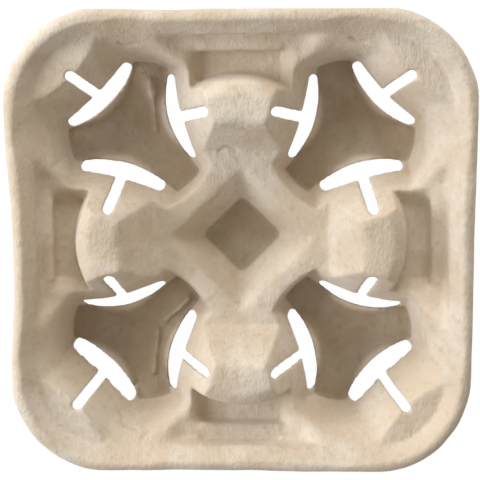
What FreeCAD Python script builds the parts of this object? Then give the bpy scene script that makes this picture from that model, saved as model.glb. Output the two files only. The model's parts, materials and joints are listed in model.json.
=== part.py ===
import FreeCAD, Part
import math
import os
import Sketcher
from FreeCAD import Placement, Rotation, Vector

# Moulded-fibre carrier for four cups, one piece of pulp about 2 mm thick.
# The frame: X and Y along the sides, Z up, the origin under the centre on the
# plane that the tray stands on.
# The tray is the space between two solid forms. The face form fills everything
# under the surface that is seen from above, and the back form everything under
# the surface that is seen from below. One function makes both, and the wall is
# the distance between them.

# Driving dimensions in millimetres and degrees: alias, value, meaning
SIZES = [
    ("tray_side", "216", "outside width of the rim, both ways"),
    ("tray_height", "45", "from the table to the crest of the rim"),
    ("wall", "2", "thickness of the pulp"),
    ("corner_radius", "46", "corner of the rim seen from above"),
    ("rim_round", "4.5", "outer rounding of the rim bead"),
    ("rim_crest", "5.5", "outside of the rim to the inner edge of its crest"),
    ("rim_width", "11", "outside of the rim to the foot of the bead inside"),
    ("lip_drop", "5.5", "how far the turned-down lip hangs below the crest"),
    ("deck_depth", "7", "crest of the rim down to the corner decks"),
    ("cup_inset", "56", "outside of the rim to the centre of a cup well"),
    ("pocket_foot_radius", "34", "pocket's cone at the floor"),
    ("pocket_shift", "2.7", "the cone's axis from the cup centre to the middle"),
    ("pocket_draft", "13", "slope of the pockets from upright"),
    ("flare_height", "27.5", "height where the pockets begin to flare"),
    ("flare_draft", "38", "slope of the flare from upright"),
    ("tab_nose_radius", "68", "roundness of a tab, square to its nose"),
    ("tab_reach", "20.5", "cup centre to a tab at the cross slot"),
    ("tab_draft", "28", "slope of a tab from upright"),
    ("toe_reach", "11.5", "cup centre to a tab's toe, on the floor"),
    ("toe_radius", "26.5", "roundness of the toe, on the floor"),
    ("bar_height", "8", "height of the cross slot, where toe and tab meet"),
    ("tab_turn", "15", "angle from a side's direction to its tab"),
    ("bridge_depth", "1", "crest of the rim down to the bridges"),
    ("bridge_inner", "9.7", "cup centre line back to the bridge's inner foot"),
    ("bridge_outer", "28", "cup centre line out to the bridge's outer foot"),
    ("bridge_half_width", "30", "half the width of a bridge"),
    ("nose_radius", "43", "rounded outer end of a bridge at its foot"),
    ("nose_sweep", "100", "angle that a rounded end spans"),
    ("nose_draft", "10", "slope of a bridge's outer end from upright"),
    ("bridge_draft", "30", "slope of a bridge's inner end from upright"),
    ("nose_bevel", "4.7", "width of the bevel along the top of a nose"),
    ("nose_bevel_slope", "36", "slope of that bevel from level"),
    ("valley_height", "20", "height of the finger recess and of the ridges"),
    ("step_height", "28", "height of the recess's upper step"),
    ("step_setback", "18.5", "outside of the rim to the lower step's riser"),
    ("upper_step_half", "29", "half the length of the upper step"),
    ("upper_ramp_draft", "52", "slope of the upper step's ends from upright"),
    ("lower_step_half", "20", "half the length of the lower step"),
    ("lower_ramp_draft", "30", "slope of the lower step's ends from upright"),
    ("ridge_width", "12", "a pocket's end on the floor to the pit's edge"),
    ("pit_draft", "35", "slope of the pit's sides from upright"),
    ("pit_softness", "4", "rounding up the corners of the pit"),
    ("bar_half_length", "18.6", "half the length of a cross slot"),
    ("bar_end_radius", "23.5", "cup centre to the line of a cross slot's ends"),
    ("bar_inner_bulge", "4", "how far its inner edge bows to the cup"),
    ("bar_outer_bulge", "1.4", "how far its outer edge bows the same way"),
    ("bar_end_width", "4.4", "width of a cross slot at its ends"),
    ("stem_width", "4.8", "width of a stem slot"),
    ("stem_reach", "39", "cup centre to the far end of a stem slot"),
]

TABS = 3
SIDES = 4
# How far a cutter reaches past what it cuts, and how close two levels are to be the same
BEYOND = 4.0
CLOSE = 0.01

doc = FreeCAD.newDocument("cup_carrier")
sheet = doc.addObject("Spreadsheet::Sheet", "sizes")
for row, (alias, value, meaning) in enumerate(SIZES, start=1):
    sheet.set(f"A{row}", alias)
    sheet.set(f"B{row}", value)
    sheet.setAlias(f"B{row}", alias)
    sheet.set(f"C{row}", meaning)
doc.recompute()


def size(alias):
    """The value of one driving dimension."""
    return float(sheet.get(alias))


def origin_plane(body, role):
    """One of a body's own origin planes."""
    return next(f for f in body.Origin.OriginFeatures if f.Role == role)


def plan_sketch(body, name, height):
    """An empty sketch of a body, level, at a height given as an expression."""
    sketch = body.newObject("Sketcher::SketchObject", name)
    sketch.AttachmentSupport = [(origin_plane(body, "XY_Plane"), "")]
    sketch.MapMode = "FlatFace"
    sketch.setExpression("AttachmentOffset.Base.z", height)
    return sketch


def bind(sketch, kind, where, expression, start):
    """Add a dimension to a sketch and tie it to an expression."""
    index = sketch.addConstraint(Sketcher.Constraint(kind, *where, start))
    sketch.renameConstraint(index, f"d{index}")
    sketch.setExpression(f"Constraints.d{index}", expression)


def rounded_square(body, name, height, half, radius):
    """A square with rounded corners about the origin, sized by expressions."""
    sketch = plan_sketch(body, name, height)
    reach, corner = 50.0, 10.0
    flat = reach - corner
    for turn in range(4):
        spin = Rotation(Vector(0, 0, 1), 90 * turn)
        start = spin.multVec(Vector(-flat, -reach, 0))
        end = spin.multVec(Vector(flat, -reach, 0))
        sketch.addGeometry(Part.LineSegment(start, end))
        centre = spin.multVec(Vector(flat, -flat, 0))
        circle = Part.Circle(centre, Vector(0, 0, 1), corner)
        first = math.radians(90 * turn - 90)
        sketch.addGeometry(Part.ArcOfCircle(circle, first, first + math.pi / 2))
    for turn in range(4):
        line, arc, following = 2 * turn, 2 * turn + 1, (2 * turn + 2) % 8
        sketch.addConstraint(Sketcher.Constraint("Tangent", line, 2, arc, 1))
        sketch.addConstraint(Sketcher.Constraint("Tangent", arc, 2, following, 1))
    for line, kind in ((0, "Horizontal"), (4, "Horizontal"), (2, "Vertical"), (6, "Vertical")):
        sketch.addConstraint(Sketcher.Constraint(kind, line))
    for arc in (3, 5, 7):
        sketch.addConstraint(Sketcher.Constraint("Equal", 1, arc))
    sketch.addConstraint(Sketcher.Constraint("Symmetric", 1, 3, 5, 3, -1, 1))
    bind(sketch, "Radius", (1,), radius, corner)
    bind(sketch, "DistanceX", (7, 3, 1, 3), f"2 * ({half} - ({radius}))", 2 * flat)
    bind(sketch, "DistanceY", (1, 3, 3, 3), f"2 * ({half} - ({radius}))", 2 * flat)
    return sketch


def rectangle(body, name, height, half_x, half_y):
    """A rectangle about the origin, sized by expressions."""
    sketch = plan_sketch(body, name, height)
    corners = [Vector(-20, -30, 0), Vector(20, -30, 0), Vector(20, 30, 0), Vector(-20, 30, 0)]
    for start, end in zip(corners, corners[1:] + corners[:1]):
        sketch.addGeometry(Part.LineSegment(start, end))
    for line in range(4):
        sketch.addConstraint(Sketcher.Constraint("Coincident", line, 2, (line + 1) % 4, 1))
    for line, kind in ((0, "Horizontal"), (2, "Horizontal"), (1, "Vertical"), (3, "Vertical")):
        sketch.addConstraint(Sketcher.Constraint(kind, line))
    sketch.addConstraint(Sketcher.Constraint("Symmetric", 0, 1, 2, 1, -1, 1))
    bind(sketch, "DistanceX", (0, 1, 0, 2), f"2 * ({half_x})", 40)
    bind(sketch, "DistanceY", (1, 1, 1, 2), f"2 * ({half_y})", 60)
    return sketch


def upright_outline(body, name, plane, starts, places, across="0"):
    """An upright outline with a corner at each place, shifted across by an expression."""
    sketch = body.newObject("Sketcher::SketchObject", name)
    sketch.AttachmentSupport = [(origin_plane(body, plane), "")]
    sketch.MapMode = "FlatFace"
    sketch.setExpression("AttachmentOffset.Base.x", across)
    count = len(starts)
    for first, last in zip(starts, starts[1:] + starts[:1]):
        sketch.addGeometry(Part.LineSegment(Vector(*first, 0), Vector(*last, 0)))
    for line in range(count):
        sketch.addConstraint(Sketcher.Constraint("Coincident", line, 2, (line + 1) % count, 1))
    for line, (start, place) in enumerate(zip(starts, places)):
        bind(sketch, "DistanceX", (-1, 1, line, 1), place[0], start[0])
        bind(sketch, "DistanceY", (-1, 1, line, 1), place[1], start[1])
    return sketch


def trough(body, name, level, half, draft, half_length):
    """A level trough along Y through the whole body, its sides drafted."""
    rise = "sizes.tray_height"
    top = f"{half} + {rise} * tan({draft})"
    starts = [(-20, 20), (20, 20), (60, 60), (-60, 60)]
    places = [(f"-({half})", level), (half, level), (top, f"{level} + {rise}")]
    places.append((f"-({top})", f"{level} + {rise}"))
    outline = upright_outline(body, f"{name}_outline", "XZ_Plane", starts, places)
    feature = body.newObject("PartDesign::Pocket", name)
    feature.Profile = outline
    feature.Midplane = True
    feature.setExpression("Length", f"2 * ({half_length})")
    return feature


def pad(body, name, sketch, length, taper="0"):
    """A pad upward from a sketch, widened by the taper."""
    feature = body.newObject("PartDesign::Pad", name)
    feature.Profile = sketch
    feature.setExpression("Length", length)
    feature.setExpression("TaperAngle", taper)
    return feature


def pocket(body, name, sketch, length, taper="0"):
    """A pocket upward from a sketch at its floor, widened by the taper."""
    feature = body.newObject("PartDesign::Pocket", name)
    feature.Profile = sketch
    feature.Reversed = True
    feature.setExpression("Length", length)
    feature.setExpression("TaperAngle", taper)
    return feature


def quarter_turns(body, name, features):
    """Four copies of features, one for each side of the tray."""
    pattern = body.newObject("PartDesign::PolarPattern", name)
    pattern.Originals = features
    pattern.Axis = (next(f for f in body.Origin.OriginFeatures if f.Role == "Z_Axis"), [""])
    pattern.Angle = 360
    pattern.Occurrences = SIDES
    body.Tip = pattern
    return pattern


def picked_edges(base, wanted):
    """The names of a feature's edges that a test picks out."""
    doc.recompute()
    return [f"Edge{i}" for i, e in enumerate(base.Shape.Edges, start=1) if wanted(e)]


def soften(body, name, base, radius, wanted):
    """Fillet the edges of a feature that a test picks out."""
    fillet = body.newObject("PartDesign::Fillet", name)
    fillet.Base = (base, picked_edges(base, wanted))
    fillet.setExpression("Radius", radius)
    body.Tip = fillet
    return fillet


def lies_at(piece, height):
    """Whether an edge or a face lies level at a height."""
    box = piece.BoundBox
    return abs(box.ZMin - height) < CLOSE and abs(box.ZMax - height) < CLOSE


def climbs_from(edge, height):
    """Whether an edge's lower end is at a height and its upper end isn't."""
    box = edge.BoundBox
    return abs(box.ZMin - height) < CLOSE < box.ZLength


# Levels and places that follow from the driving dimensions
CREST = "sizes.tray_height"
DECK = "(sizes.tray_height - sizes.deck_depth)"
BRIDGE_TOP = "(sizes.tray_height - sizes.bridge_depth)"
HALF = "sizes.tray_side / 2"
CUP = "(sizes.tray_side / 2 - sizes.cup_inset)"
BEAD_SLOPE = "atan((sizes.rim_width - sizes.rim_crest) / sizes.deck_depth)"


def leaning(draft):
    """How far a drafted face moves sideways per skin, at a level one skin lower."""
    return f"(1 - sin({draft})) / cos({draft})"


def bridge_nose(body, name, skin, low, rise):
    """The rounded, bevelled outer end of a bridge, revolved about an upright axis."""
    draft, slope = "tan(sizes.nose_draft)", "tan(sizes.nose_bevel_slope)"
    foot = f"(sizes.nose_radius - {skin} * {leaning('sizes.nose_draft')})"
    top = f"({foot} - {rise} * {draft})"
    narrower = f"({leaning('sizes.nose_draft')} - tan(sizes.nose_bevel_slope / 2))"
    width = f"(sizes.nose_bevel - {skin} * {narrower})"
    drop = f"({width} * {slope} / (1 - {slope} * {draft}))"
    starts = [(0, 20), (43, 20), (39, 40), (34, 44), (0, 44)]
    places = [
        ("0", low),
        (foot, low),
        (f"{top} + {drop} * {draft}", f"{low} + {rise} - {drop}"),
        (f"{top} - {width}", f"{low} + {rise}"),
        ("0", f"{low} + {rise}"),
    ]
    axis = f"{CUP} + sizes.bridge_outer - sizes.nose_radius"
    profile = upright_outline(body, f"{name}_outline", "YZ_Plane", starts, places, axis)
    feature = body.newObject("PartDesign::Revolution", name)
    feature.Profile = profile
    feature.ReferenceAxis = (profile, ["V_Axis"])
    feature.Midplane = True
    feature.setExpression("Angle", "sizes.nose_sweep")
    return feature


def diamond_pit(body, name, skin):
    """The pit in the middle: a wedge with four drafted sides, its corners on the axes."""
    draft = "sizes.pit_draft"
    well_end = f"({CUP} * sqrt(2) - sizes.pocket_shift - sizes.pocket_foot_radius)"
    run = f"(sizes.valley_height - sizes.wall) * tan({draft})"
    floor_half = f"({well_end} - sizes.ridge_width - {run} + {skin} * {leaning(draft)})"
    top_half = f"({floor_half} + sizes.tray_height * tan({draft}))"
    wedge = body.newObject("PartDesign::SubtractiveWedge", name)
    upright = Rotation(Vector(1, 0, 0), 90)
    wedge.Placement = Placement(Vector(), Rotation(Vector(0, 0, 1), 45) * upright)
    wedge.setExpression("Placement.Base.z", f"sizes.wall - {skin}")
    wedge.setExpression("Ymin", "0")
    wedge.setExpression("Ymax", "sizes.tray_height")
    for low, high, half in (("min", "max", floor_half), ("2min", "2max", top_half)):
        for axis in "XZ":
            wedge.setExpression(f"{axis}{low}", f"-{half}")
            wedge.setExpression(f"{axis}{high}", half)
    body.Tip = wedge
    return wedge


def make_form(name, skin):
    """The solid under one surface of the tray: the skin is 0 for the face, the wall for the back."""
    body = doc.addObject("PartDesign::Body", name)
    is_back = skin != "0"
    if is_back:
        beyond = rounded_square(
            body, f"{name}_beyond_outline", f"-{skin}", f"{HALF} + {skin}", "sizes.corner_radius"
        )
        pad(body, f"{name}_beyond", beyond, f"{CREST} - sizes.lip_drop + {skin}")
    outline = rounded_square(
        body, f"{name}_outline", f"-{skin}", f"{HALF} - {skin}", f"sizes.corner_radius - {skin}"
    )
    block = pad(body, f"{name}_block", outline, CREST)
    doc.recompute()
    top = block.Shape.BoundBox.ZMax
    soften(body, f"{name}_rim", block, f"sizes.rim_round - {skin}", lambda e: lies_at(e, top))
    lean = leaning(BEAD_SLOPE)
    deck = rounded_square(
        body,
        f"{name}_deck_outline",
        f"{DECK} - {skin}",
        f"{HALF} - sizes.rim_width + {skin} * {lean}",
        f"sizes.corner_radius - sizes.rim_width + {skin} * {lean}",
    )
    pocket(body, f"{name}_deck", deck, "sizes.deck_depth * 2", BEAD_SLOPE)
    upper_step = trough(
        body,
        f"{name}_upper_step",
        f"sizes.step_height - {skin}",
        f"sizes.upper_step_half + {skin} * {leaning('sizes.upper_ramp_draft')}",
        "sizes.upper_ramp_draft",
        f"{HALF} - sizes.rim_width + {skin}",
    )
    lower_step = trough(
        body,
        f"{name}_lower_step",
        f"sizes.valley_height - {skin}",
        f"sizes.lower_step_half + {skin} * {leaning('sizes.lower_ramp_draft')}",
        "sizes.lower_ramp_draft",
        f"{HALF} - sizes.step_setback + {skin}",
    )
    quarter_turns(body, f"{name}_steps", [upper_step, lower_step])
    low = f"sizes.valley_height - {skin}"
    rise = f"({BRIDGE_TOP} - sizes.valley_height)"
    bar = rectangle(
        body,
        f"{name}_bridge_outline",
        low,
        "sizes.bridge_half_width",
        f"{CUP} + sizes.bridge_outer - sizes.nose_radius * (1 - cos(sizes.nose_sweep / 2))",
    )
    bridge = pad(body, f"{name}_bridge", bar, rise)
    nose = bridge_nose(body, f"{name}_nose", skin, low, rise)
    quarter_turns(body, f"{name}_bridges", [bridge, nose])
    centre = rectangle(
        body,
        f"{name}_centre_outline",
        low,
        f"{CUP} - sizes.bridge_inner",
        f"{CUP} - sizes.bridge_inner",
    )
    pocket(body, f"{name}_centre", centre, "sizes.tray_height")
    foot = f"{CUP} - sizes.bridge_inner + {skin} * {leaning('sizes.bridge_draft')}"
    high = f"{low} + {rise} + sizes.wall"
    starts = [(40, 20), (55, 50), (30, 50), (30, 20)]
    places = [
        (foot, low),
        (f"{foot} + ({rise} + sizes.wall) * tan(sizes.bridge_draft)", high),
        (f"{foot} - sizes.bridge_inner", high),
        (f"{foot} - sizes.bridge_inner", low),
    ]
    upright = upright_outline(body, f"{name}_slope_outline", "YZ_Plane", starts, places)
    slope = body.newObject("PartDesign::Pocket", f"{name}_slope")
    slope.Profile = upright
    slope.Midplane = True
    slope.setExpression("Length", "2 * sizes.bridge_half_width")
    quarter_turns(body, f"{name}_slopes", [slope])
    pit = diamond_pit(body, f"{name}_pit", skin)
    floor_level = 0 if is_back else size("wall")
    soften(
        body,
        f"{name}_pit_corners",
        pit,
        f"sizes.pit_softness + {skin}",
        lambda e: climbs_from(e, floor_level),
    )
    return body


def cone(low, high, radius_low, draft):
    """An upright cone between two heights that widens upward by a draft."""
    radius_high = radius_low + (high - low) * math.tan(math.radians(draft))
    return Part.makeCone(radius_low, radius_high, high - low, Vector(0, 0, low))


def pocket_cones(skin):
    """The round hollow of a well before its tabs: a cone that flares near the rim."""
    wall, top = size("wall"), size("tray_height")
    draft, flare = size("pocket_draft"), size("flare_draft")
    turn_height = size("flare_height")
    sideways = skin / math.cos(math.radians(draft))
    foot = size("pocket_foot_radius") + sideways
    bottom = wall - BEYOND
    lower_radius = foot - BEYOND * math.tan(math.radians(draft))
    knee = foot + (turn_height - wall) * math.tan(math.radians(draft))
    flare_more = skin / math.cos(math.radians(flare)) - sideways
    level_shift = flare_more / (math.tan(math.radians(flare)) - math.tan(math.radians(draft)))
    turn_height -= level_shift
    knee -= level_shift * math.tan(math.radians(draft))
    lower = cone(bottom, turn_height, lower_radius, draft)
    upper = cone(turn_height, top + BEYOND, knee, flare)
    hollow = lower.fuse(upper)
    shift = size("pocket_shift") * math.sqrt(0.5)
    hollow.translate(Vector(shift, -shift, 0))
    return hollow


def tab_body(skin):
    """One tab, out along X: a leaning round body with a low round toe at its foot."""
    draft = math.radians(size("tab_draft"))
    wall, bar, tall = size("wall"), size("bar_height"), size("tray_height")
    radius = size("tab_nose_radius")
    up = Vector(math.sin(draft), 0, math.cos(draft))
    inward = Vector(math.cos(draft), 0, -math.sin(draft))
    bottom = -2 * BEYOND
    start = Vector(size("tab_reach"), 0, bar) + inward * radius - up * tall
    leaning_body = Part.makeCylinder(radius - skin, 3 * tall, start, up)
    toe_run = size("tab_reach") - size("toe_reach")
    toe_slope = math.atan2(bar - wall, toe_run)
    toe_centre = size("toe_reach") + size("toe_radius")
    steps = (size("toe_radius") - skin / math.sin(toe_slope), toe_run / (bar - wall))
    low_radius = steps[0] + (wall - bottom) * steps[1]
    toe_height = low_radius / steps[1]
    toe = Part.makeCone(low_radius, 0, toe_height, Vector(toe_centre, 0, bottom))
    return leaning_body.fuse(toe)


def well_shape(skin):
    """The hollow of the upper left well about its own centre, grown by the skin."""
    hollow = pocket_cones(skin)
    for tab in range(TABS):
        body = tab_body(skin)
        body.rotate(Vector(), Vector(0, 0, 1), size("tab_turn") + 360 * tab / TABS)
        hollow = hollow.cut(body)
    return hollow


def set_in_quarter(name, shape):
    """A shape drawn about a cup's centre, as an object set in the upper left quarter."""
    centre = size("tray_side") / 2 - size("cup_inset")
    feature = doc.addObject("Part::Feature", name)
    feature.Shape = shape
    feature.Placement = Placement(Vector(-centre, centre, 0), Rotation())
    return feature


def cut(name, base, tool):
    """One object less another."""
    result = doc.addObject("Part::Cut", name)
    result.Base = base
    result.Tool = tool
    return result


def box(name, length, height, x, y, z):
    """A square box from one corner, its sizes and place given as expressions."""
    block = doc.addObject("Part::Box", name)
    block.setExpression("Length", length)
    block.setExpression("Width", length)
    block.setExpression("Height", height)
    block.setExpression("Placement.Base.x", x)
    block.setExpression("Placement.Base.y", y)
    block.setExpression("Placement.Base.z", z)
    return block


def common(name, base, tool):
    """What two objects share."""
    result = doc.addObject("Part::Common", name)
    result.Base = base
    result.Tool = tool
    return result


def mirrored(name, source, normal):
    """An object mirrored in a plane through the origin."""
    mirror = doc.addObject("Part::Mirroring", name)
    mirror.Source = source
    mirror.Base = Vector()
    mirror.Normal = normal
    return mirror


def joined(name, base, tool):
    """Two objects as one, with split flat faces made whole."""
    result = doc.addObject("Part::Fuse", name)
    result.Base = base
    result.Tool = tool
    result.Refine = True
    return result


def arc_through(first, middle, last):
    """An arc edge through three plan points."""
    points = [Vector(x, y, 0) for x, y in (first, middle, last)]
    return Part.Arc(*points).toShape()


def slot_tool():
    """The upright cutter of one T slot: X points from the cup's centre out along the tab."""
    line, half = size("bar_end_radius"), size("bar_half_length")
    end = size("bar_end_width") / 2
    inner, outer = line - end, line + end
    inner_middle = inner - size("bar_inner_bulge")
    outer_middle = outer - size("bar_outer_bulge")
    bar = Part.Wire(
        [
            arc_through((inner, -half), (inner_middle, 0), (inner, half)),
            arc_through((inner, half), (line, half + end), (outer, half)),
            arc_through((outer, half), (outer_middle, 0), (outer, -half)),
            arc_through((outer, -half), (line, -half - end), (inner, -half)),
        ]
    )
    stem_half = size("stem_width") / 2
    straight = size("stem_reach") - stem_half
    start = (inner_middle + outer_middle) / 2
    corners = [Vector(start, -stem_half, 0), Vector(straight, -stem_half, 0)]
    far_corners = [Vector(straight, stem_half, 0), Vector(start, stem_half, 0)]
    stem = Part.Wire(
        [
            Part.LineSegment(*corners).toShape(),
            arc_through((straight, -stem_half), (straight + stem_half, 0), (straight, stem_half)),
            Part.LineSegment(*far_corners).toShape(),
            Part.LineSegment(far_corners[1], corners[0]).toShape(),
        ]
    )
    tall = Vector(0, 0, size("tray_height") + 2 * BEYOND)
    cutter = Part.Face(bar).extrude(tall).fuse(Part.Face(stem).extrude(tall))
    cutter.translate(Vector(0, 0, -BEYOND))
    return cutter


def tab_slots():
    """The three T slots of the upper left well."""
    cutters = []
    for tab in range(TABS):
        cutter = slot_tool()
        cutter.rotate(Vector(), Vector(0, 0, 1), size("tab_turn") + 360 * tab / TABS)
        cutters.append(cutter)
    return Part.makeCompound(cutters)


face_form = make_form("face_form", "0")
back_form = make_form("back_form", "sizes.wall")
LEFT, BACK, DOWN = "-sizes.tray_side", "0", "-sizes.tray_height"
quarter = box("quarter", "sizes.tray_side", "sizes.tray_height * 3", LEFT, BACK, DOWN)
floor = box("floor", "sizes.tray_side", "sizes.tray_height + sizes.wall", LEFT, BACK, DOWN)
face_well = set_in_quarter("face_well", well_shape(0))
back_well = set_in_quarter("back_well", well_shape(size("wall")))
face = cut("face", common("face_quarter", face_form, quarter), cut("open_well", face_well, floor))
back = cut("back", common("back_quarter", back_form, quarter), back_well)
slots = set_in_quarter("slots", tab_slots())
corner = cut("corner", cut("shell", face, back), slots)
left_half = joined("left_half", corner, mirrored("front_corner", corner, Vector(0, 1, 0)))
tray = joined("cup_carrier", left_half, mirrored("right_half", left_half, Vector(1, 0, 0)))
tray.Label = "cup_carrier"
doc.recompute()

failed = [o.Name for o in doc.Objects if "Invalid" in o.State or "Error" in o.State]
if failed:
    raise RuntimeError(f"objects that did not compute: {failed}")
if tray.Shape.isNull() or not tray.Shape.isValid() or len(tray.Shape.Solids) != 1:
    raise RuntimeError(f"the tray isn't one valid solid: {len(tray.Shape.Solids)}")

os.makedirs("parts", exist_ok=True)
tray.Shape.exportStep(f"parts/{tray.Label}.step")
box = tray.Shape.BoundBox
print(f"{tray.Label}: {tray.Shape.Volume / 1000:.1f} cm3, {box.XLength:.1f} x {box.YLength:.1f}")
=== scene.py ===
"""A moulded-fibre carrier for takeaway cups, seen almost from above on white."""

import json
import logging
import math
from dataclasses import dataclass
from enum import Enum

import bmesh
import bpy
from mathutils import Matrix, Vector, noise
from mathutils.bvhtree import BVHTree

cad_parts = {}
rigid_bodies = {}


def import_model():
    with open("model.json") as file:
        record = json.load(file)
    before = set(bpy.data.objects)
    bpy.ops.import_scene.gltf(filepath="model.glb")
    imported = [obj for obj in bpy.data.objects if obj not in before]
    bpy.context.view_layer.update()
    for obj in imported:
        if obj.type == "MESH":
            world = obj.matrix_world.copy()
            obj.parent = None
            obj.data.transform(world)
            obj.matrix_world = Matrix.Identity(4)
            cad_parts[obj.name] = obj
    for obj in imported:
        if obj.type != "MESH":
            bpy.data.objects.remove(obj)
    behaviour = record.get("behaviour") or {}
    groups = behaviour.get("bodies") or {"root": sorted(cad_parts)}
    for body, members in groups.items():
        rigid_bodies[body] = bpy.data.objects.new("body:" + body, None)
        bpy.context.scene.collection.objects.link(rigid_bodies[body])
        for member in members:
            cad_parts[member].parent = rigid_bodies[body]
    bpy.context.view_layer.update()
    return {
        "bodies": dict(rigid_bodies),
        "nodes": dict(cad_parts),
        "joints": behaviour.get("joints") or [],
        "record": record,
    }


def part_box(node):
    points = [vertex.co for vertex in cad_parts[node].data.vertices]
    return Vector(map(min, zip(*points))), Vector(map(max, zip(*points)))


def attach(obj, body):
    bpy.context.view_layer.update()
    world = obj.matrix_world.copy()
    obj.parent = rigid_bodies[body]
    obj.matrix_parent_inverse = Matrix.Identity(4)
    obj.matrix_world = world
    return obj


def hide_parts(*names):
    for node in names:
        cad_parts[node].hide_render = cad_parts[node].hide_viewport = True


LOG = logging.getLogger("cup_carrier")
MM = 0.001
# Where a Mix node keeps its two colour inputs and its colour output
MIX_COLOURS = (6, 7)
MIX_RESULT = 2


class Layer(Enum):
    """How a tone lies over the colour under it."""

    MIX = "MIX"
    DARKEN = "MULTIPLY"


def linear(hex_colour: str) -> tuple[float, float, float, float]:
    """Turns an sRGB hex colour into a linear one.

    Args:
        hex_colour: six hex digits with a leading hash.

    Returns:
        Red, green, blue and alpha in linear light.
    """
    parts = [int(hex_colour[i : i + 2], 16) / 255 for i in (1, 3, 5)]
    lin = [c / 12.92 if c <= 0.04045 else ((c + 0.055) / 1.055) ** 2.4 for c in parts]
    return (lin[0], lin[1], lin[2], 1.0)


def add_node(tree: bpy.types.NodeTree, kind: str, settings: dict, links: dict) -> bpy.types.Node:
    """Adds a node with its settings and its incoming links.

    Args:
        tree: the node tree it joins.
        kind: the node's type name.
        settings: attribute or input names with their values.
        links: input names with the output sockets that feed them.

    Returns:
        The new node.
    """
    node = tree.nodes.new(kind)
    for key, value in settings.items():
        if isinstance(key, str) and hasattr(node, key):
            setattr(node, key, value)
        else:
            node.inputs[key].default_value = value
    for key, source in links.items():
        tree.links.new(source, node.inputs[key])
    return node


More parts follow.
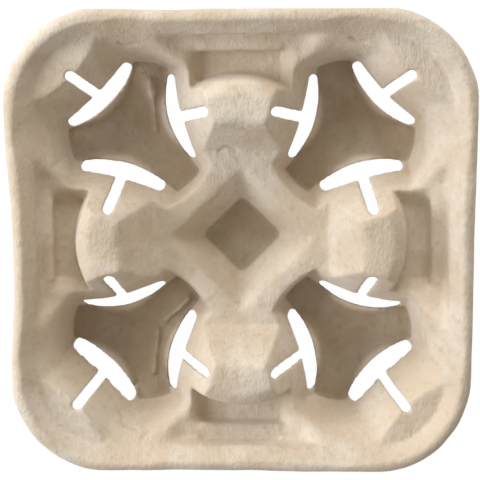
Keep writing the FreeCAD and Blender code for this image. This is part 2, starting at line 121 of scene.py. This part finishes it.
# Recycled paper pulp is formed wet on a wire mesh and dried. To the eye it is matt and
# felted, a mottled beige with darker flecks. Near the well floors the colour is darkened
# further: painted shade, for the shade that falls deep in the wells. Its real fibres are
# far too fine for a picture of this size, so they are drawn as tufts of fibre_mm.
@dataclass(frozen=True)
class MouldedFibre:
    """The tray's one material: dried paper pulp, mottled, flecked and felted, with painted shade on the
    well floors.

    Lengths are in millimetres. Each veil is the grey value where a tone starts, the value
    where it is fullest, and how much of it shows there.
    """

    name: str = "moulded recycled paper pulp"
    body: str = "#D2BEA3"
    pale: str = "#DCCCB5"
    tan: str = "#C5AA86"
    fleck: str = "#8F7C62"
    # Painted shade on the well floors: its colour, and the heights where it starts and where it is
    # fullest.
    painted_floor_shade: str = "#CFC9C0"
    painted_shade_from_mm: float = 5.5
    painted_shade_to_mm: float = 2.2
    mottle_mm: float = 26.0
    clump_mm: float = 3.2
    fibre_mm: float = 0.9
    grit_mm: float = 0.45
    pale_veil: tuple[float, float, float] = (0.42, 0.62, 1.0)
    tan_veil: tuple[float, float, float] = (0.50, 0.72, 0.45)
    fleck_veil: tuple[float, float, float] = (0.70, 0.80, 0.35)
    painted_shade_veil: tuple[float, float, float] = (0.0, 1.0, 1.0)
    noise_roughness: float = 0.55
    roughness: float = 0.93
    gloss: float = 0.25
    sheen: float = 0.25
    sheen_roughness: float = 0.5
    fibre_strength: float = 0.85
    fibre_depth_mm: float = 0.4
    clump_strength: float = 0.6
    clump_depth_mm: float = 0.8

    def make(self) -> bpy.types.Material:
        """Makes the material.

        Returns:
            The finished material, which reads Object coordinates in metres.
        """
        mat = bpy.data.materials.new(self.name)
        mat.use_nodes = True
        tree = mat.node_tree
        shader = tree.nodes["Principled BSDF"]
        where = add_node(tree, "ShaderNodeTexCoord", {}, {}).outputs["Object"]
        mottle = self._cloud(tree, where, self.mottle_mm, 3.0, (1.0, 1.0, 1.0))
        clump = self._cloud(tree, where, self.clump_mm, 4.0, (1.0, 0.8, 1.0))
        fibre = self._cloud(tree, where, self.fibre_mm, 3.0, (1.0, 0.45, 1.0))
        grit = self._cloud(tree, where, self.grit_mm, 2.0, (1.0, 1.0, 1.0))
        colour = self._tone(tree, linear(self.body), self.pale, mottle, self.pale_veil, Layer.MIX)
        colour = self._tone(tree, colour, self.tan, clump, self.tan_veil, Layer.MIX)
        colour = self._tone(tree, colour, self.fleck, grit, self.fleck_veil, Layer.MIX)
        # Painted shade: over the lowest few millimetres, on the well floors, the colour is multiplied
        # darker to stand in for the shade in the deep wells.
        height = add_node(tree, "ShaderNodeSeparateXYZ", {}, {"Vector": where}).outputs["Z"]
        depth = add_node(
            tree,
            "ShaderNodeMapRange",
            {
                "interpolation_type": "SMOOTHSTEP",
                "From Min": self.painted_shade_from_mm * MM,
                "From Max": self.painted_shade_to_mm * MM,
            },
            {"Value": height},
        )
        colour = self._tone(tree, colour, self.painted_floor_shade, depth.outputs["Result"], self.painted_shade_veil, Layer.DARKEN)
        tree.links.new(colour, shader.inputs["Base Color"])
        shader.inputs["Roughness"].default_value = self.roughness
        shader.inputs["Specular IOR Level"].default_value = self.gloss
        shader.inputs["Sheen Weight"].default_value = self.sheen
        shader.inputs["Sheen Roughness"].default_value = self.sheen_roughness
        relief = add_node(
            tree,
            "ShaderNodeBump",
            {"Strength": self.fibre_strength, "Distance": self.fibre_depth_mm * MM},
            {"Height": fibre},
        )
        relief = add_node(
            tree,
            "ShaderNodeBump",
            {"Strength": self.clump_strength, "Distance": self.clump_depth_mm * MM},
            {"Height": clump, "Normal": relief.outputs["Normal"]},
        )
        tree.links.new(relief.outputs["Normal"], shader.inputs["Normal"])
        return mat

    def _cloud(
        self,
        tree: bpy.types.NodeTree,
        where: bpy.types.NodeSocket,
        size_mm: float,
        detail: float,
        stretch: tuple[float, float, float],
    ) -> bpy.types.NodeSocket:
        """Adds a noise whose lumps measure size_mm.

        Args:
            tree: the material's nodes.
            where: the coordinates it reads.
            size_mm: the size of one lump.
            detail: how many finer octaves it has.
            stretch: how much denser it runs along each axis.

        Returns:
            The noise's grey value.
        """
        turned = add_node(tree, "ShaderNodeMapping", {"Scale": stretch}, {"Vector": where})
        cloud = add_node(
            tree,
            "ShaderNodeTexNoise",
            {"Scale": 1.0 / (size_mm * MM), "Detail": detail, "Roughness": self.noise_roughness},
            {"Vector": turned.outputs["Vector"]},
        )
        return cloud.outputs["Fac"]

    def _tone(
        self,
        tree: bpy.types.NodeTree,
        under: bpy.types.NodeSocket | tuple[float, float, float, float],
        over: str,
        value: bpy.types.NodeSocket,
        veil: tuple[float, float, float],
        layer: Layer,
    ) -> bpy.types.NodeSocket:
        """Lays a second tone over the first where a grey value is high.

        Args:
            tree: the material's nodes.
            under: the colour or socket below.
            over: the hex colour above.
            value: the grey value that decides.
            veil: the value where the upper tone starts, where it is fullest, and how much of it
                shows there.
            layer: how the two combine.

        Returns:
            The combined colour.
        """
        low, high, most = veil
        amount = add_node(
            tree,
            "ShaderNodeMapRange",
            {"interpolation_type": "SMOOTHSTEP", "From Min": low, "From Max": high, "To Max": most},
            {"Value": value},
        )
        mix = add_node(
            tree,
            "ShaderNodeMix",
            {"data_type": "RGBA", "blend_type": layer.value},
            {"Factor": amount.outputs["Result"]},
        )
        lower, upper = (mix.inputs[i] for i in MIX_COLOURS)
        upper.default_value = linear(over)
        if isinstance(under, tuple):
            lower.default_value = under
        else:
            tree.links.new(under, lower)
        return mix.outputs[MIX_RESULT]


@dataclass(frozen=True)
class Mark:
    """A crease, a nick or a run of pulp on the upper face, all in millimetres.

    The points draw its line in plan, from the middle of the tray. A height above nothing
    raises the face and one below it sinks it. The lowest and highest level keep the mark to
    its own surface.
    """

    points: tuple[tuple[float, float], ...]
    width: float
    height: float
    lowest: float
    highest: float
    least_upward: float = 0.1

    def press(self, shape: bmesh.types.BMesh) -> None:
        """Raises or sinks the upper face along the line.

        Args:
            shape: the tray's mesh, in metres.
        """
        reach = 2 * self.width * MM
        line = [Vector(point).to_3d() * MM for point in self.points]
        left = min(point.x for point in line) - reach
        right = max(point.x for point in line) + reach
        front = min(point.y for point in line) - reach
        back = max(point.y for point in line) + reach
        for vert in shape.verts:
            place = vert.co
            if not (left < place.x < right and front < place.y < back):
                continue
            if vert.normal.z < self.least_upward or not self.lowest * MM < place.z < self.highest * MM:
                continue
            far = self._distance(Vector((place.x, place.y, 0)), line) / (self.width * MM)
            vert.co = place + vert.normal * (self.height * MM * math.exp(-far * far))

    def _distance(self, place: Vector, line: list[Vector]) -> float:
        """Measures how far a place lies from the line.

        Args:
            place: a place in plan.
            line: the line's points in plan.

        Returns:
            The shortest distance.
        """
        best = math.inf
        for start, end in zip(line, line[1:]):
            span = end - start
            share = min(1.0, max(0.0, (place - start).dot(span) / span.length_squared))
            best = min(best, (place - start - span * share).length)
        return best


# Runs of pulp on two well floors first, then small folds and nicks in the slopes
MARKS = (
    Mark(((-44.5, 74.4), (-43.6, 69.6)), 2.4, 2.6, 1, 14),
    Mark(((-43.6, 69.6), (-42.3, 61.9), (-41.9, 51.2)), 1.3, 1.9, 1, 14),
    Mark(((-26.8, -32.3), (-31.8, -37.4), (-37.8, -43.0)), 1.7, 2.2, 1, 20),
    Mark(((-42.1, -48.6), (-42.7, -58.8), (-44.3, -70.2)), 1.5, 2.0, 1, 14),
    Mark(((-68.8, -49.4), (-60.7, -46.3)), 1.0, 0.8, 1, 14),
    Mark(((-55.8, 93.3), (-53.6, 91.9), (-48.5, 92.8)), 0.7, -0.8, 20, 46),
    Mark(((-86.9, 63.3), (-83.1, 64.2), (-78.6, 62.4)), 0.8, -0.8, 20, 46),
    Mark(((50.9, 94.5), (53.6, 92.7), (57.7, 92.6)), 0.7, -0.8, 20, 46),
    Mark(((-60.6, -76.6), (-56.3, -82.2), (-52.7, -75.6)), 0.9, -0.9, 2, 40),
    Mark(((-59.1, -86.1), (-56.3, -90.5), (-50.5, -91.5)), 0.7, -0.7, 10, 46),
    Mark(((-47.1, -94.5), (-43.7, -92.9)), 0.7, -0.7, 10, 46),
    Mark(((-10.6, 42.1), (-6.8, 44.4), (-2.6, 42.6)), 0.9, -0.9, 10, 46),
    Mark(((88.4, 34.7), (86.7, 31.0)), 0.7, -0.7, 20, 46),
    Mark(((-38.9, 22.3), (-38.0, 19.0)), 0.8, -0.7, 10, 46),
    Mark(((-88.2, 34.8), (-83.4, 40.4)), 0.9, -0.6, 10, 46),
    Mark(((94.5, -50.4), (95.6, -54.3)), 0.6, -0.6, 20, 46),
)


@dataclass(frozen=True)
class Bow:
    """How one side of the rim bends inward as the tray dries, lengths in metres."""

    axis: int
    way: float
    depth: float
    middle: float
    reach: float

    def pull(self, point: Vector, half: float, band: float) -> float:
        """Works out how far the side moves a point.

        Args:
            point: a place on the tray.
            half: half the tray's side.
            band: how far in from the rim the bend is felt.

        Returns:
            The move along the bow's axis.
        """
        near = 1 - (half - point[self.axis] * self.way) / band
        far = abs(point[1 - self.axis] - self.middle) / self.reach
        if near <= 0 or far >= 1:
            return 0.0
        return -self.way * self.depth * near * math.cos(math.pi / 2 * far) ** 2


@dataclass
class Tray:
    """The moulded tray: the source's solid on an even mesh, made uneven as dried pulp is."""

    name: str = "moulded_tray"
    node: str = "cup_carrier"
    side: float = 216 * MM
    corner: float = 46 * MM
    lip_band: float = 12.5 * MM
    spread: float = 1.0 * MM
    voxel: float = 0.85 * MM
    weld: float = 0.005 * MM
    most_triangles: int = 190000
    slot_rounds: int = 3
    soften_rounds: int = 9
    blend_rounds: int = 40
    cup_centre: float = 52 * MM
    slot_reach: float = 41 * MM
    slot_limit: float = 90 * MM
    blend_floor: float = 17 * MM
    crown_centre: float = 60 * MM
    crown_radius: float = 9 * MM
    recess_out: tuple[float, float] = (74 * MM, 101 * MM)
    recess_aside: tuple[float, float] = (19 * MM, 66 * MM)
    seed: int = 4
    sway: float = 0.7 * MM
    sway_length: float = 45 * MM
    buckle: float = 0.3 * MM
    buckle_length: float = 11 * MM
    felt: float = 0.16 * MM
    felt_length: float = 3.0 * MM
    buckle_start: tuple[float, float, float] = (7.0, 3.0, 1.0)
    felt_start: tuple[float, float, float] = (1.0, 9.0, 4.0)
    bows: tuple[Bow, ...] = (
        Bow(0, -1.0, 2.7 * MM, -6 * MM, 70 * MM),
        Bow(0, 1.0, 0.9 * MM, 0.0, 80 * MM),
        Bow(1, 1.0, 1.4 * MM, -25 * MM, 75 * MM),
        Bow(1, -1.0, 0.7 * MM, 0.0, 40 * MM),
    )
    bow_band: float = 24 * MM

    def build(self, frame: dict) -> bpy.types.Object:
        """Makes the visible tray from the CAD node.


        Returns:
            The finished object.
        """
        noise.seed_set(self.seed)
        source = frame["nodes"][self.node]
        low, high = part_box(self.node)
        mesh = bpy.data.meshes.new(self.name)
        shape = bmesh.new()
        shape.from_mesh(source.data)
        bmesh.ops.remove_doubles(shape, verts=shape.verts, dist=self.weld)
        surface = BVHTree.FromBMesh(shape)
        shape.to_mesh(mesh)
        shape.free()
        tray = bpy.data.objects.new(self.name, mesh)
        bpy.context.scene.collection.objects.link(tray)
        self._applied(tray, "REMESH", mode="VOXEL", voxel_size=self.voxel)
        LOG.info("even mesh: %d faces", len(tray.data.polygons))
        shape = bmesh.new()
        shape.from_mesh(tray.data)
        for vert in shape.verts:
            vert.co = surface.find_nearest(vert.co)[0]
        self._soften(shape, list(shape.verts), self.slot_rounds)
        open_faces = [vert for vert in shape.verts if not self._keeps_edges(vert.co)]
        self._soften(shape, open_faces, self.soften_rounds)
        blends = [vert for vert in shape.verts if self._blends(vert.co)]
        self._soften(shape, blends, self.blend_rounds)
        shape.normal_update()
        for mark in MARKS:
            mark.press(shape)
        for vert in shape.verts:
            vert.co = self._kept_in(self._uneven(vert.co), low, high)
        shape.to_mesh(tray.data)
        triangles = sum(len(face.verts) - 2 for face in shape.faces)
        shape.free()
        self._applied(tray, "DECIMATE", ratio=self.most_triangles / triangles)
        for vert in tray.data.vertices:
            vert.co = self._kept_in(vert.co, low, high)
        tray.data.shade_smooth()
        return tray

    def _soften(self, shape: bmesh.types.BMesh, verts: list[bmesh.types.BMVert], rounds: int) -> None:
        """Rounds off the creases between some vertices, as wet pulp does.

        Args:
            shape: the tray's mesh.
            verts: the vertices that move.
            rounds: how many times each moves halfway to its neighbours.
        """
        every_axis = {f"use_axis_{axis}": True for axis in "xyz"}
        for _ in range(rounds):
            bmesh.ops.smooth_vert(shape, verts=verts, factor=0.5, **every_axis)

    def _inside(self, place: Vector) -> float:
        """Measures how far a place lies inside the rim's outline.

        Args:
            place: a place on the tray.

        Returns:
            The distance in plan.
        """
        flat = self.side / 2 - self.corner
        across = max(0.0, abs(place.x) - flat)
        along = max(0.0, abs(place.y) - flat)
        return self.corner - math.hypot(across, along)

    def _keeps_edges(self, place: Vector) -> bool:
        """Tells whether a place lies by a punched slot or on the lip, where edges stay crisp.

        Args:
            place: a place on the tray.

        Returns:
            True inside a cup's ring of slots and along the lip.
        """
        across = abs(abs(place.x) - self.cup_centre)
        along = abs(abs(place.y) - self.cup_centre)
        farthest = max(abs(place.x), abs(place.y))
        by_slot = math.hypot(across, along) < self.slot_reach and farthest < self.slot_limit
        return by_slot or self._inside(place) < self.lip_band

    def _blends(self, place: Vector) -> bool:
        """Tells whether a place lies where one form runs softly into the next.

        Args:
            place: a place on the tray.

        Returns:
            True at the ends of the finger recesses and on the crowns of the bridges.
        """
        out, aside = sorted((abs(place.x), abs(place.y)), reverse=True)
        if place.z < self.blend_floor:
            return False
        if math.hypot(out - self.crown_centre, aside) < self.crown_radius:
            return True
        near, far = self.recess_out
        start, end = self.recess_aside
        return near < out < far and start < aside < end

    def _applied(self, tray: bpy.types.Object, kind: str, **settings: object) -> None:
        """Runs a modifier on the tray and keeps what it gives.

        Args:
            tray: the object whose mesh changes.
            kind: the modifier's type.
            settings: the modifier's settings by name.
        """
        step = tray.modifiers.new(kind.lower(), kind)
        for key, value in settings.items():
            setattr(step, key, value)
        seen = bpy.context.evaluated_depsgraph_get()
        made = bpy.data.meshes.new_from_object(tray.evaluated_get(seen))
        tray.modifiers.clear()
        old = tray.data
        tray.data = made
        made.name = self.name
        bpy.data.meshes.remove(old)

    def _uneven(self, point: Vector) -> Vector:
        """Moves a point as drying pulp warps.

        Args:
            point: a place on the tray.

        Returns:
            The place it dries to.
        """
        slow = noise.noise_vector(point / self.sway_length)
        quick = noise.noise_vector(point / self.buckle_length + Vector(self.buckle_start))
        fine = noise.noise(point / self.felt_length + Vector(self.felt_start))
        moved = point + slow * self.sway + quick * self.buckle
        moved.z += fine * self.felt
        near = max(0.0, 1 - self._inside(point) / self.bow_band)
        moved += Vector((point.x, point.y, 0)).normalized() * (self.spread * near)
        for bow in self.bows:
            moved[bow.axis] += bow.pull(point, self.side / 2, self.bow_band)
        return moved

    def _kept_in(self, point: Vector, low: Vector, high: Vector) -> Vector:
        """Keeps a point inside the source's box.

        Args:
            point: a place on the tray.
            low: the box's lowest corner.
            high: the box's highest corner.

        Returns:
            The place, moved back to the box's faces if it was outside.
        """
        return Vector([min(max(p, a), b) for p, a, b in zip(point, low, high)])


# The sweep under the tray is matt white board. The eye gets it as plain white with the
# tray's own soft shadow left on it.
@dataclass(frozen=True)
class WhiteSweep:
    """The floor's finish: white to the camera, plain matt board to all other light."""

    name: str = "white sweep"
    board: str = "#E4E2DE"
    roughness: float = 0.9
    glow: float = 1.03
    glow_share: float = 0.95

    def make(self) -> bpy.types.Material:
        """Makes the material.

        Returns:
            The finished material.
        """
        mat = bpy.data.materials.new(self.name)
        mat.use_nodes = True
        tree = mat.node_tree
        board = tree.nodes["Principled BSDF"]
        board.inputs["Base Color"].default_value = linear(self.board)
        board.inputs["Roughness"].default_value = self.roughness
        glow = add_node(tree, "ShaderNodeEmission", {"Strength": self.glow}, {})
        path = add_node(tree, "ShaderNodeLightPath", {}, {})
        seen = path.outputs["Is Camera Ray"]
        for ray in ("Is Glossy Ray", "Is Transmission Ray"):
            links = {0: seen, 1: path.outputs[ray]}
            seen = add_node(tree, "ShaderNodeMath", {"operation": "MAXIMUM"}, links).outputs[0]
        share = add_node(tree, "ShaderNodeMath", {"operation": "MULTIPLY", 1: self.glow_share}, {0: seen})
        both = add_node(
            tree,
            "ShaderNodeMixShader",
            {},
            {0: share.outputs[0], 1: board.outputs[0], 2: glow.outputs[0]},
        )
        tree.links.new(both.outputs[0], tree.nodes["Material Output"].inputs["Surface"])
        return mat


@dataclass(frozen=True)
class Window:
    """A soft square lamp that faces the tray like a window, in metres and watts."""

    name: str
    place: tuple[float, float, float]
    side: float
    power: float
    tint: tuple[float, float, float]

    def hang(self) -> None:
        """Hangs the lamp."""
        data = bpy.data.lights.new(self.name, "AREA")
        data.shape = "SQUARE"
        data.size = self.side
        data.energy = self.power
        data.color = self.tint
        lamp = bpy.data.objects.new(self.name, data)
        lamp.location = self.place
        lamp.rotation_euler = (-Vector(self.place)).to_track_quat("-Z", "Y").to_euler()
        bpy.context.scene.collection.objects.link(lamp)
        LOG.info("%s: %.1f W", self.name, self.power)


@dataclass
class Studio:
    """A white floor under plain soft light, and the camera over it."""

    floor_side: float = 6.0
    floor_drop: float = 0.2 * MM
    camera_place: tuple[float, float, float] = (0.0133, 0.0877, 0.600)
    camera_turn: tuple[float, float, float] = (-8.65, 1.36, -0.09)
    lens_mm: float = 91.6
    sensor_mm: float = 36.0
    sight: float = 20.0
    world_light: float = 0.41
    windows: tuple[Window, ...] = (
        Window("window_left", (-1.2, 0.1, 0.58), 0.8, 16.5, (0.9, 0.97, 1.1)),
        Window("window_back", (0.0, 1.2, 0.52), 0.8, 10.5, (0.98, 1.0, 1.02)),
    )

    def build(self) -> None:
        """Sets the floor, the light and the camera."""
        self._floor()
        for window in self.windows:
            window.hang()
        self._world()
        self._camera()

    def _floor(self) -> None:
        """Lays the floor just under the tray."""
        mesh = bpy.data.meshes.new("floor")
        shape = bmesh.new()
        bmesh.ops.create_grid(shape, x_segments=1, y_segments=1, size=self.floor_side / 2)
        bmesh.ops.translate(shape, verts=shape.verts, vec=(0, 0, -self.floor_drop))
        shape.to_mesh(mesh)
        shape.free()
        floor = bpy.data.objects.new("floor", mesh)
        bpy.context.scene.collection.objects.link(floor)
        mesh.materials.append(WhiteSweep().make())
        LOG.info("floor: %.1f m a side", self.floor_side)

    def _world(self) -> None:
        """Fills the room with even white light."""
        world = bpy.data.worlds.new("studio")
        world.use_nodes = True
        tree = world.node_tree
        white = (1.0, 1.0, 1.0, 1.0)
        light = tree.nodes["Background"]
        light.inputs["Color"].default_value = white
        light.inputs["Strength"].default_value = self.world_light
        backdrop = add_node(tree, "ShaderNodeBackground", {"Color": white, "Strength": 1.0}, {})
        path = add_node(tree, "ShaderNodeLightPath", {}, {})
        both = add_node(
            tree,
            "ShaderNodeMixShader",
            {},
            {0: path.outputs["Is Camera Ray"], 1: light.outputs[0], 2: backdrop.outputs[0]},
        )
        tree.links.new(both.outputs[0], tree.nodes["World Output"].inputs["Surface"])
        bpy.context.scene.world = world

    def _camera(self) -> None:
        """Places the camera as the photograph was taken."""
        data = bpy.data.cameras.new("camera")
        data.lens = self.lens_mm
        data.sensor_width = self.sensor_mm
        data.clip_end = self.sight
        camera = bpy.data.objects.new("camera", data)
        camera.location = self.camera_place
        camera.rotation_euler = [math.radians(turn) for turn in self.camera_turn]
        bpy.context.scene.collection.objects.link(camera)
        bpy.context.scene.camera = camera
        LOG.info("camera: %.1f mm lens", self.lens_mm)


def main() -> None:
    """Builds the studio and the tray, and reports each piece."""
    logging.basicConfig(level=logging.INFO, format="%(message)s")
    scene = bpy.context.scene
    scene.view_settings.view_transform = "Standard"
    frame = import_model()
    Studio().build()
    tray = Tray().build(frame)
    tray.data.materials.append(MouldedFibre().make())
    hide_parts("cup_carrier")
    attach(tray, "root")
    LOG.info("moulded tray: %d faces", len(tray.data.polygons))


if __name__ == "__main__":
    main()
